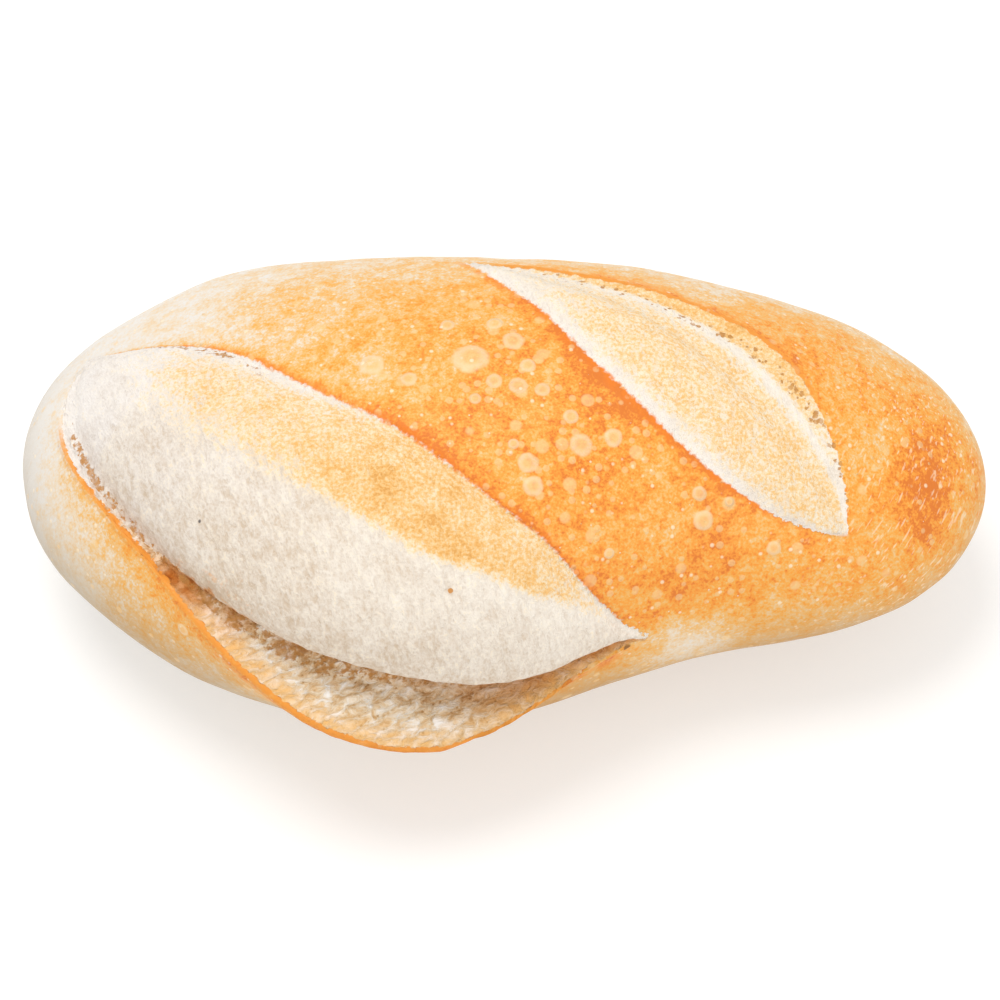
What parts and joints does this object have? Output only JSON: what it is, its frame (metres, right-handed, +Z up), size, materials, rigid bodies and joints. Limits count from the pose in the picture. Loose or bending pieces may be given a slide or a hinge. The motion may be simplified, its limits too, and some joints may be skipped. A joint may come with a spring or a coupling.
{
  "type": "bread roll",
  "caption": "Long crusty bread roll with two diagonal scores across its top, one burst open over a torn gap and one barely parted.",
  "frame": {"origin": "middle of the footprint, on the surface that the roll rests on", "axes": "+X along the roll from its blunt, burst end to its tapering end; -Y the side that the large score opens towards; +Z up"},
  "size_m": [0.14, 0.0814, 0.052],
  "materials": {
    "crust": "dry baked crust, golden to orange, pale and floury on the bellies of the scores"
  },
  "bodies": {
    "root": {"bread_roll": "crust"}
  },
  "joints": []
}
